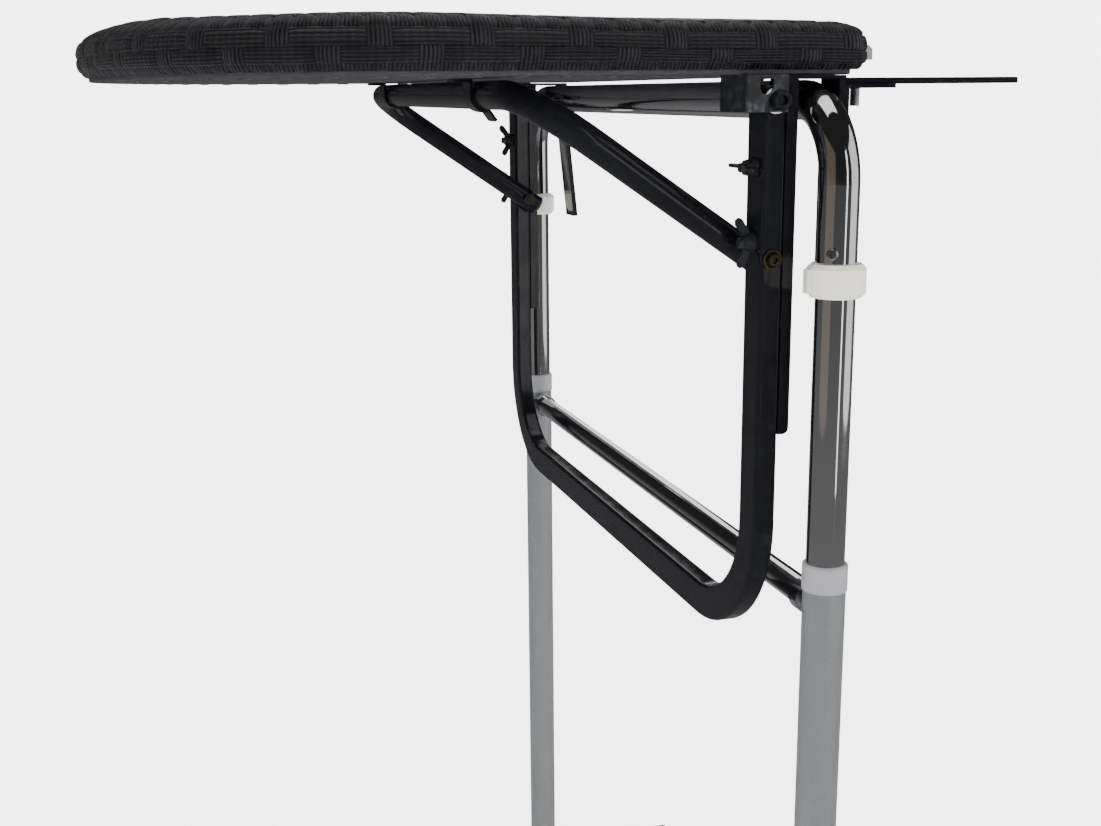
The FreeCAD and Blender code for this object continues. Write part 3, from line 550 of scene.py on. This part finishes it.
def strap_relief(along, climb, look):
    """Height of the woven straps, from 0 in the gaps to 1 on their crests, round the pad's sides."""
    warp = along / look.warp_pitch
    weft = climb / look.weft_pitch
    row = np.floor(weft)
    phase = np.mod(warp + 2 * np.mod(row, 2), 4)
    in_row = weft - row - 0.5
    weft_crest = 1 - np.abs(2 * in_row) ** 6
    float_end = np.clip(np.abs((phase - 2.5) / 1.5), 0, 1)
    weft_height = weft_crest * (1 - 0.75 * float_end ** 8)
    across = np.clip(np.abs(phase - 0.5) * 2 / 0.8, 0, 1)
    warp_height = (1 - across ** 4) * (1 - 0.5 * np.abs(2 * in_row) ** 6) * 1.1
    side = np.where(phase < 1, np.maximum(warp_height, 0.1), weft_height)
    every = np.clip(np.abs(warp - np.floor(warp) - 0.5) * 2 / 0.92, 0, 1)
    edge_rows = (1 - every ** 4) * (1 - 0.6 * np.abs(2 * in_row) ** 6)
    return np.where((row < 1) | (row > 2), edge_rows, side)


def top_relief(along, across, look):
    """The same straps on top, where the warps run over three wefts and under one."""
    warp = along / look.warp_pitch
    weft = across / look.weft_pitch
    line = np.floor(warp)
    phase = np.mod(weft + 2 * np.mod(line, 2), 4)
    in_line = warp - line - 0.5
    crest = 1 - np.clip(np.abs(2 * in_line) / 0.94, 0, 1) ** 5
    float_end = np.clip(np.abs((phase - 2.5) / 1.5), 0, 1)
    over = crest * (1 - 0.8 * float_end ** 8)
    under = (1 - np.clip(np.abs(phase - 0.5) * 2, 0, 1) ** 4) * (1 - 0.5 * np.abs(2 * in_line) ** 6)
    return np.where(phase < 1, under, over)


def weave_cover(made, pad, look, length, rim_distance):
    """Raises the straps on the finished cover, and lays the weave's own UV map."""
    mesh = made.data
    total = len(mesh.vertices)
    read = {}
    for name in ROUND_MARKS:
        values = np.empty(total, np.float32)
        mesh.attributes[name].data.foreach_get("value", values)
        read[name] = values.astype(float)
    place = positions(mesh)
    turn = np.mod(np.arctan2(read["round_sin"], read["round_cos"]), 2 * math.pi)
    along = turn / (2 * math.pi) * length
    climb = read["climb"]
    reach = np.hypot(read["round_cos"], read["round_sin"])
    on_top = (climb > rim_distance + 0.02) | (reach < 0.6)
    normals = np.empty(total * 3, np.float32)
    mesh.vertices.foreach_get("normal", normals)
    normals = normals.reshape(-1, 3).astype(float)
    side = strap_relief(along, climb + WEFT_START, look)
    above = top_relief(place[:, 1], place[:, 0], look)
    height = np.where(on_top, above, side)
    under = climb < 0.0005
    height = np.where(under & ~on_top, UNDER_RELIEF, height)
    place += normals * (height * pad.strap_height)[:, None]
    place[:, 2] = np.maximum(place[:, 2], PLATE_HIGH.z)
    mesh.vertices.foreach_set("co", place.astype(np.float32).ravel())

    corners = np.empty(len(mesh.loops), np.int32)
    mesh.loops.foreach_get("vertex_index", corners)
    starts = np.empty(len(mesh.polygons), np.int32)
    sizes = np.empty(len(mesh.polygons), np.int32)
    mesh.polygons.foreach_get("loop_start", starts)
    mesh.polygons.foreach_get("loop_total", sizes)
    owner = np.repeat(np.arange(len(starts)), sizes)
    top_face = np.zeros(len(starts), bool)
    np.logical_or.at(top_face, owner, on_top[corners])
    top_loop = top_face[owner]
    u = along[corners]
    widest = np.full(len(starts), -1.0)
    np.maximum.at(widest, owner, u)
    seam = (widest[owner] - u) > length / 2
    u = np.where(seam, u + length, u)
    u = np.where(top_loop, place[corners, 1] + TOP_WARP_START * look.warp_pitch, u)
    top_v = place[corners, 0] + TOP_WEFT_START * look.weft_pitch + TOP_SHIFT
    v = np.where(top_loop, top_v, climb[corners] + WEFT_START)
    layer = mesh.uv_layers.new(name="weave")
    layer.data.foreach_set("uv", np.column_stack([u, v]).astype(np.float32).ravel())
    for name in ROUND_MARKS:
        mesh.attributes.remove(mesh.attributes[name])
    mesh.update()


# ---------------------------------------------------------------- repeated details

def node_group(name, sizes):
    """An empty Geometry Nodes tree with a geometry input, named sizes and a geometry output."""
    tree = bpy.data.node_groups.new(name, "GeometryNodeTree")
    tree.interface.new_socket("Geometry", in_out="INPUT", socket_type="NodeSocketGeometry")
    tree.interface.new_socket("Finish", in_out="INPUT", socket_type="NodeSocketMaterial")
    for label, value in sizes.items():
        kind = "NodeSocketInt" if isinstance(value, int) else "NodeSocketFloat"
        tree.interface.new_socket(label, in_out="INPUT", socket_type=kind).default_value = value
    tree.interface.new_socket("Geometry", in_out="OUTPUT", socket_type="NodeSocketGeometry")
    return tree, tree.nodes.new("NodeGroupInput"), tree.nodes.new("NodeGroupOutput")


def run_nodes(made, tree, finish, **sizes):
    """Evaluates a tree on an object and keeps the plain mesh."""
    modifier = made.modifiers.new(tree.name, "NODES")
    modifier.node_group = tree
    for item in tree.interface.items_tree:
        if item.in_out != "INPUT":
            continue
        if item.name == "Finish":
            modifier[item.identifier] = finish
        elif item.name in sizes:
            modifier[item.identifier] = sizes[item.name]
    plain_copy(made)
    if not made.data.materials:
        made.data.materials.append(finish)
    made.data.polygons.foreach_set("use_smooth", [True] * len(made.data.polygons))
    return made


def path_object(name, lines):
    """Loose edges along each line of points."""
    verts = []
    edges = []
    for line, closed in lines:
        start = len(verts)
        verts += [tuple(p) for p in line]
        edges += [(start + k, start + k + 1) for k in range(len(line) - 1)]
        if closed:
            edges.append((start + len(line) - 1, start))
    mesh = bpy.data.meshes.new(name)
    mesh.from_pydata(verts, edges, [])
    made = bpy.data.objects.new(name, mesh)
    bpy.context.scene.collection.objects.link(made)
    return made


def follow_path_tree(name, sizes, shape):
    """A tree that sets one small shape at even steps along the paths it is given."""
    tree, given, result = node_group(name, sizes)
    curve = add_node(tree, "GeometryNodeMeshToCurve", {"Mesh": given.outputs["Geometry"]})
    steps = add_node(tree, "GeometryNodeResampleCurve",
                     {"Curve": curve.outputs[0], "Length": given.outputs["Spacing"]}, mode="LENGTH")
    tangent = add_node(tree, "GeometryNodeInputTangent")
    turn = add_node(tree, "FunctionNodeAlignRotationToVector", {"Vector": tangent.outputs[0]}, axis="Z")
    placed = add_node(tree, "GeometryNodeInstanceOnPoints",
                      {"Points": steps.outputs[0], "Instance": shape(tree, given), "Rotation": turn.outputs[0]})
    real = add_node(tree, "GeometryNodeRealizeInstances", {0: placed.outputs[0]})
    finished = add_node(tree, "GeometryNodeSetMaterial",
                        {0: real.outputs[0], "Material": given.outputs["Finish"]})
    tree.links.new(finished.outputs[0], result.inputs[0])
    return tree


def thread_ring(tree, given):
    """One turn of a screw thread, as a thin ring round the shank."""
    circle = "GeometryNodeCurvePrimitiveCircle"
    path = add_node(tree, circle, {"Resolution": 20, "Radius": given.outputs["Radius"]})
    section = add_node(tree, circle, {"Resolution": 6, "Radius": given.outputs["Depth"]})
    return add_node(tree, "GeometryNodeCurveToMesh",
                    {"Curve": path.outputs[0], "Profile Curve": section.outputs[0]}).outputs[0]


def weld_ripple(tree, given):
    """One overlapping ripple of a weld bead."""
    ball = add_node(tree, "GeometryNodeMeshUVSphere",
                    {"Segments": 10, "Rings": 6, "Radius": given.outputs["Size"]})
    flat = add_node(tree, "GeometryNodeTransform", {"Geometry": ball.outputs[0], "Scale": (1.0, 1.0, 0.72)})
    return flat.outputs[0]


def staple_bar(tree, given):
    """A staple's crown, lying along the path."""
    bar = add_node(tree, "GeometryNodeMeshCylinder", {"Vertices": 8, "Side Segments": 2,
                                                      "Radius": given.outputs["Thickness"],
                                                      "Depth": given.outputs["Width"]})
    return bar.outputs[0]


# ---------------------------------------------------------------- settings

class BOARD_PG_pad(bpy.types.PropertyGroup):
    """Shape of the padded cover."""
    slack: bpy.props.FloatProperty(name="Slack", description="How much lower the cover starts than the CAD pad",
                                   default=0.0035, unit="LENGTH", precision=5)
    proud: bpy.props.FloatProperty(name="Proud", description="How far the straps' ground lies outside the outline",
                                   default=-0.0005, unit="LENGTH", precision=5)
    nose_round: bpy.props.FloatProperty(name="Nose rounding", description="How much fuller the nose is rounded",
                                        default=0.7)
    front_lift: bpy.props.FloatProperty(name="Front lift", description="How much thicker the pad is at its nose",
                                        default=0.0028, unit="LENGTH", precision=5)
    swell: bpy.props.FloatProperty(name="Swell", description="Height of the crown that the foam gives the top",
                                   default=0.0055, unit="LENGTH", precision=5)
    pressure: bpy.props.FloatProperty(name="Pressure", description="Push of the foam on the cover", default=4.0)
    low_round: bpy.props.FloatProperty(name="Lower rim", description="Radius of the pad's lower rim",
                                       default=0.0065, unit="LENGTH")
    top_round: bpy.props.FloatProperty(name="Shoulder", description="Radius of the pad's upper rim",
                                       default=0.012, unit="LENGTH")
    rear_droop: bpy.props.FloatProperty(name="Rear droop", description="How far the rear corners are pulled down",
                                        default=0.0025, unit="LENGTH")
    droop_length: bpy.props.FloatProperty(name="Droop length", description="How far forward the droop starts",
                                          default=0.040, unit="LENGTH")
    strap_height: bpy.props.FloatProperty(name="Strap height", description="How proud the woven straps stand",
                                          default=0.0015, unit="LENGTH")


class BOARD_PG_finish(bpy.types.PropertyGroup):
    """Colours of the finishes, and the weave's spacing."""
    warp_pitch: bpy.props.FloatProperty(name="Warp pitch", description="Spacing of the straps across the edge",
                                        default=0.0148, unit="LENGTH", precision=5)
    weft_pitch: bpy.props.FloatProperty(name="Weft pitch", description="Spacing of the straps along the edge",
                                        default=0.0106, unit="LENGTH", precision=5)
    # The strap's two colours: the groove colour is painted shade, the crest colour a painted highlight
    strap_groove_painted_shade_hex: bpy.props.StringProperty(name="Strap gaps", description="Colour in the grooves, sRGB hex",
                                             default="#020203")
    strap_crest_painted_highlight_hex: bpy.props.StringProperty(name="Strap crests", description="Colour on the ribs, sRGB hex",
                                              default="#16161B")
    chrome_hex: bpy.props.StringProperty(name="Chrome", description="Darker tone of the chrome, sRGB hex",
                                         default="#D4D5D8")
    satin_hex: bpy.props.StringProperty(name="Satin grey", description="Darker tone of the lower tubes, sRGB hex",
                                        default="#8B8D90")
    enamel_hex: bpy.props.StringProperty(name="Enamel", description="Darker tone of the enamel, sRGB hex",
                                         default="#060608")
    nylon_hex: bpy.props.StringProperty(name="Nylon", description="Paler tone of the collars, sRGB hex",
                                        default="#A9A79F")


class BOARD_PG_stage(bpy.types.PropertyGroup):
    """Floor, lights and camera."""
    focal: bpy.props.FloatProperty(name="Focal length", description="Camera lens", default=45.33, min=1.0)
    camera_place: bpy.props.FloatVectorProperty(name="Camera", description="Where the camera stands",
                                                default=(1.0944, -0.2735, 0.9058), subtype="TRANSLATION",
                                                precision=5)
    look_along: bpy.props.FloatVectorProperty(name="View direction", description="Where the camera looks",
                                              default=(-0.93268, 0.28178, -0.22517), subtype="DIRECTION",
                                              precision=5)
    roll: bpy.props.FloatProperty(name="Roll", description="Clockwise roll of the camera",
                                  default=math.radians(0.48), subtype="ANGLE")
    wall_radius: bpy.props.FloatProperty(name="Backdrop radius", description="Radius of the round backdrop",
                                         default=5.0, unit="LENGTH")


# ---------------------------------------------------------------- operators

class BOARD_OT_finishes(bpy.types.Operator):
    """Give every hard part its finish"""
    bl_idname = "board.finishes"
    bl_label = "Finishes"

    def execute(self, context):
        look = context.scene.board_finish
        grey = moulded_plastic("grey_polypropylene", "#5F6062", "#6B6C6E", 0.42)
        black = moulded_plastic("black_polypropylene", "#101011", "#1B1B1D", 0.4)
        enamel = black_enamel(look)
        worn = worn_black()
        chrome = chrome_plate(look)
        satin = satin_tube(look)
        zinc = zinc_plate()
        dark = dark_zinc()
        yellow = yellow_zinc()
        finishes = {
            chrome: ["top_frame", "crossbar", "crossbar_ferrules"],
            satin: ["lower_leg_right", "lower_leg_left", "foot_tube_right", "foot_tube_left"],
            grey: ["leg_bushings"],
            white_nylon(look): ["leg_collars", "hinge_washers"],
            black: ["foot_caps_front", "foot_caps_rear", "frame_plugs", "stay_end_caps"],
            enamel: ["u_frame", "stay", "rear_arm", "stay_clip_right", "stay_clip_left", "hook_rail_right",
                     "hook_rail_left", "rear_brackets"],
            worn: ["hinge_bracket_right", "hinge_bracket_left"],
            zinc: ["stop_screws", "rear_bracket_screws", "hinge_nuts", "plate_screws"],
            dark: [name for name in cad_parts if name.startswith("wing_nut")]
            + ["clamp_washers", "clamp_bolts", "stay_pivot_nuts"],
            yellow: ["stay_pivot_bolts"],
            black_oxide(): ["hinge_bolts"],
            painted_plywood(): ["board_plate"],
            tab_webbing(): ["pull_tab"],
            foam_finish(): ["foam_core"],
            woven_strap(look): ["pad_cover"],
        }
        given = set()
        for material, names in finishes.items():
            for name in names:
                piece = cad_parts[name]
                piece.data.materials.clear()
                piece.data.materials.append(material)
                given.add(name)
        missing = set(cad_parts) - given
        if missing:
            raise RuntimeError("no finish for " + ", ".join(sorted(missing)))
        return {"FINISHED"}


class BOARD_OT_pad(bpy.types.Operator):
    """Make the padded cover with its woven straps"""
    bl_idname = "board.pad"
    bl_label = "Pad"

    def execute(self, context):
        pad = context.scene.board_pad
        look = context.scene.board_finish
        made, grid, outline, length, rim = coarse_pad(pad)
        look.warp_pitch = length / (REPEATS * WARP_PER_REPEAT)
        inflate(made, pad, grid, outline)
        smooth = made.modifiers.new("smooth", "SUBSURF")
        smooth.levels = smooth.render_levels = 2
        plain_copy(made)
        weave_cover(made, pad, look, length, rim)
        made.data.materials.clear()
        made.data.materials.append(woven_strap(look))
        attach(made, "board")
        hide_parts("pad_cover", "foam_core")
        return {"FINISHED"}


class BOARD_OT_threads(bpy.types.Operator):
    """Cut the screw threads on the bolts' free ends"""
    bl_idname = "board.threads"
    bl_label = "Screw threads"

    def execute(self, context):
        sizes = {"Spacing": 0.001, "Radius": 0.0029, "Depth": 0.0003}
        tree = follow_path_tree("screw_thread", sizes, thread_ring)
        zinc = bpy.data.materials["bright_zinc_plate"]
        yellow = bpy.data.materials["yellow_chromate_zinc"]
        front = []
        low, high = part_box("clamp_bolts")
        for row in ("upper", "lower"):
            for side in ("right", "left"):
                nut_low, nut_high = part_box("wing_nut_" + row + "_" + side)
                x = math.copysign(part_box("u_frame")[1].x - FRAME_TUBE_HALF, nut_low.x)
                z = (nut_low.z + nut_high.z) / 2
                front.append(([(x, low.y + 0.0006, z), (x, low.y + 0.0076, z)], False))
        low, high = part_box("rear_bracket_screws")
        y = (low.y + high.y) / 2
        for side in SIDES:
            x = side * (high.x - SINK_HEAD_R)
            front.append(([(x, y, low.z + 0.0006), (x, y, low.z + 0.0106)], False))
        made = path_object("bolt_threads", front)
        run_nodes(made, tree, zinc)
        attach(made, "hook_frame")
        inner = []
        low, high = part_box("stay_pivot_bolts")
        nut_low, nut_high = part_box("stay_pivot_nuts")
        y = (low.y + high.y) / 2
        z = (low.z + high.z) / 2
        for side in SIDES:
            inner.append(([(side * (PIVOT_TIP_X + 0.0004), y, z), (side * (PIVOT_TIP_X + 0.0014), y, z)], False))
        made = path_object("pivot_threads", inner)
        run_nodes(made, tree, yellow)
        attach(made, "hook_frame")
        return {"FINISHED"}


class BOARD_OT_welds(bpy.types.Operator):
    """Run the weld beads where the tubes meet"""
    bl_idname = "board.welds"
    bl_label = "Weld beads"

    def execute(self, context):
        tree = follow_path_tree("weld_bead", {"Spacing": 0.0021, "Size": 0.0021}, weld_ripple)
        satin = bpy.data.materials["satin_metallic_lacquer"]
        lines = []
        leg_low, leg_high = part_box("lower_leg_right")
        radius = (leg_high.x - leg_low.x) / 2
        leg_x = (leg_high.x + leg_low.x) / 2
        leg_y = (leg_high.y + leg_low.y) / 2
        foot_low, foot_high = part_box("foot_tube_right")
        foot_z = (foot_low.z + foot_high.z) / 2
        for side in SIDES:
            ring = []
            for k in range(64):
                a = 2 * math.pi * k / 64
                x = radius * math.cos(a)
                y = radius * math.sin(a)
                rise = math.sqrt(max(radius ** 2 - x ** 2, 0.0))
                ring.append((side * (leg_x + x * 1.01), leg_y + y * 1.01, foot_z + rise + 0.0004))
            lines.append((ring, True))
        made = path_object("leg_welds", lines)
        run_nodes(made, tree, satin)
        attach(made, "stand")
        return {"FINISHED"}


class BOARD_OT_staples(bpy.types.Operator):
    """Staple the cover's edge to the underside of the board"""
    bl_idname = "board.staples"
    bl_label = "Staples"

    def execute(self, context):
        sizes = {"Spacing": 0.028, "Thickness": 0.0005, "Width": 0.010}
        tree = follow_path_tree("staple_line", sizes, staple_bar)
        outline = board_outline(400)[0]
        path = outline - outward(outline) * STAPLE_INSET
        z = PLATE_LOW.z - 0.0002
        keep = [(x, y, z) for x, y in path if y < 0.05]
        made = path_object("cover_staples", [(keep, False)])
        run_nodes(made, tree, bpy.data.materials["bright_zinc_plate"])
        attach(made, "board")
        return {"FINISHED"}


class BOARD_OT_stage(bpy.types.Operator):
    """Set the floor, backdrop, lights and camera"""
    bl_idname = "board.stage"
    bl_label = "Stage"

    def execute(self, context):
        stage = context.scene.board_stage
        pale = pale_floor()
        floor = self.bowl("studio_floor", [(0.0, 0.0), (stage.wall_radius, 0.0)], pale)
        floor.visible_glossy = False
        bend = [(stage.wall_radius + 2 * math.sin(a), 2 - 2 * math.cos(a))
                for a in np.linspace(0, math.pi / 2, 16)]
        wall = self.bowl("studio_backdrop", bend + [(stage.wall_radius + 2.0, 8.0)], pale)
        wall.visible_glossy = False
        self.soft_light("rear_softbox", (1.1, 2.2, 1.2), (0.25, 0.1, 0.75), (2.2, 2.2), 15.0)
        self.soft_light("strip_softbox", (2.6, 0.85, 1.1), (0.25, 0.1, 0.7), (0.3, 2.4), 5.0)
        self.soft_light("nose_softbox", (0.9, -2.4, 1.1), (0.2, 0.0, 0.7), (2.6, 2.2), 2.0, "#FFE3CC")
        self.soft_light("top_softbox", (-0.4, 0.0, 3.2), (0.0, 0.0, 0.5), (2.2, 2.2), 22.0)
        self.soft_light("left_softbox", (-2.4, 1.0, 1.6), (0.0, 0.0, 0.6), (0.8, 2.0), 8.0)
        self.world(context)
        self.camera(context, stage)
        return {"FINISHED"}

    def bowl(self, name, profile, material):
        """A round sheet turned from a profile of (radius, height)."""
        turns = 96
        verts = []
        faces = []
        for radius, height in profile:
            for k in range(turns):
                a = 2 * math.pi * k / turns
                verts.append((radius * math.cos(a), radius * math.sin(a), height))
        if profile[0][0] == 0.0:
            verts = [(0.0, 0.0, profile[0][1])] + verts[turns:]
            for k in range(turns):
                faces.append((0, 1 + k, 1 + (k + 1) % turns))
        else:
            for r in range(len(profile) - 1):
                for k in range(turns):
                    n = (k + 1) % turns
                    faces.append((r * turns + k, r * turns + n, (r + 1) * turns + n, (r + 1) * turns + k))
        made = mesh_object(name, verts, faces)
        made.data.materials.append(material)
        return made

    def soft_light(self, name, place, aim, size, power, tint="#FFFFFF"):
        """A rectangular softbox that faces the point it is aimed at."""
        light = bpy.data.lights.new(name, "AREA")
        light.shape = "RECTANGLE"
        light.size, light.size_y = size
        light.energy = power
        light.color = linear(tint)[:3]
        made = bpy.data.objects.new(name, light)
        made.location = place
        made.rotation_euler = (Vector(aim) - Vector(place)).to_track_quat("-Z", "Y").to_euler()
        bpy.context.scene.collection.objects.link(made)

    def world(self, context):
        """Dim room seen in the metal: dark overhead and paler towards the floor."""
        world = bpy.data.worlds.new("studio")
        world.use_nodes = True
        tree = world.node_tree
        place = add_node(tree, "ShaderNodeTexCoord").outputs["Generated"]
        height = add_node(tree, "ShaderNodeSeparateXYZ", {"Vector": place}).outputs[2]
        back = tree.nodes["Background"]
        tree.links.new(spread(tree, height, 0.25, 0.02, -0.6, 0.1), back.inputs["Color"])
        back.inputs["Strength"].default_value = 1.0
        context.scene.world = world

    def camera(self, context, stage):
        """A camera turned to its view direction and rolled about it."""
        ahead = Vector(stage.look_along).normalized()
        right = ahead.cross(Vector((0, 0, 1))).normalized()
        up = right.cross(ahead)
        c, s = math.cos(stage.roll), math.sin(stage.roll)
        tilted_right = right * c - up * s
        tilted_up = up * c + right * s
        lens = bpy.data.cameras.new("photo_camera")
        lens.lens = stage.focal
        lens.sensor_width = 36.0
        lens.sensor_fit = "HORIZONTAL"
        lens.clip_end = 100.0
        made = bpy.data.objects.new("photo_camera", lens)
        turn = Matrix((tilted_right, tilted_up, -ahead)).transposed()
        made.matrix_world = Matrix.Translation(Vector(stage.camera_place)) @ turn.to_4x4()
        context.scene.collection.objects.link(made)
        context.scene.camera = made


OPERATORS = (BOARD_OT_finishes, BOARD_OT_pad, BOARD_OT_threads, BOARD_OT_welds, BOARD_OT_staples,
             BOARD_OT_stage)
GROUPS = {"board_pad": BOARD_PG_pad, "board_finish": BOARD_PG_finish, "board_stage": BOARD_PG_stage}


class BOARD_PT_panel(bpy.types.Panel):
    """Lists the steps that build the board."""
    bl_idname = "BOARD_PT_panel"
    bl_label = "Folding Board"
    bl_space_type = "VIEW_3D"
    bl_region_type = "UI"
    bl_category = "Folding Board"

    def draw(self, context):
        for operator in OPERATORS:
            self.layout.operator(operator.bl_idname)


def register():
    for name, group in GROUPS.items():
        bpy.utils.register_class(group)
        setattr(bpy.types.Scene, name, bpy.props.PointerProperty(type=group))
    for operator in OPERATORS:
        bpy.utils.register_class(operator)
    bpy.utils.register_class(BOARD_PT_panel)


def unregister():
    bpy.utils.unregister_class(BOARD_PT_panel)
    for operator in reversed(OPERATORS):
        bpy.utils.unregister_class(operator)
    for name, group in GROUPS.items():
        delattr(bpy.types.Scene, name)
        bpy.utils.unregister_class(group)


def main():
    """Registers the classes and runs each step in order."""
    register()
    for operator in OPERATORS:
        space, name = operator.bl_idname.split(".")
        getattr(getattr(bpy.ops, space), name)()


if __name__ == "__main__":
    main()
